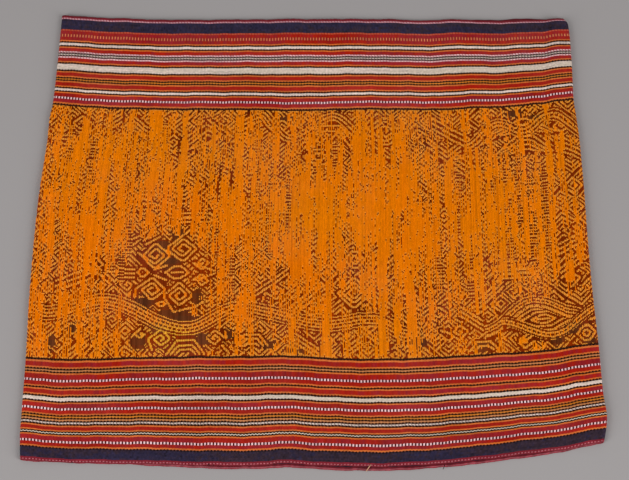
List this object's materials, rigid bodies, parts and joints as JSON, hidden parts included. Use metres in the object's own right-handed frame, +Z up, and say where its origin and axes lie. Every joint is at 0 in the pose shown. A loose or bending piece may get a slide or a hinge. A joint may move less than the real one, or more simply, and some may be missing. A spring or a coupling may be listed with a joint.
{
  "type": "tube skirt",
  "caption": "Handwoven tube skirt laid flat: a patterned body between a striped waist band and a striped hem band.",
  "frame": {"origin": "middle of the underside, where the skirt lies on the surface", "axes": "+X across the skirt towards the picture's right, +Y from hem to waist, +Z up out of the shown side"},
  "size_m": [0.5762, 0.5044, 0.0068],
  "materials": {
    "head_strip": "matt warp-faced cotton in fine crosswise stripes of crimson, orange, cream and indigo",
    "body_cloth": "matt dark brown cotton almost covered by orange supplementary weft with a slight sheen",
    "foot_strip": "matt warp-faced cotton in fine crosswise stripes of crimson, orange, cream and indigo"
  },
  "bodies": {
    "root": {"head_strip": "head_strip", "body_cloth": "body_cloth", "foot_strip": "foot_strip"}
  },
  "joints": []
}
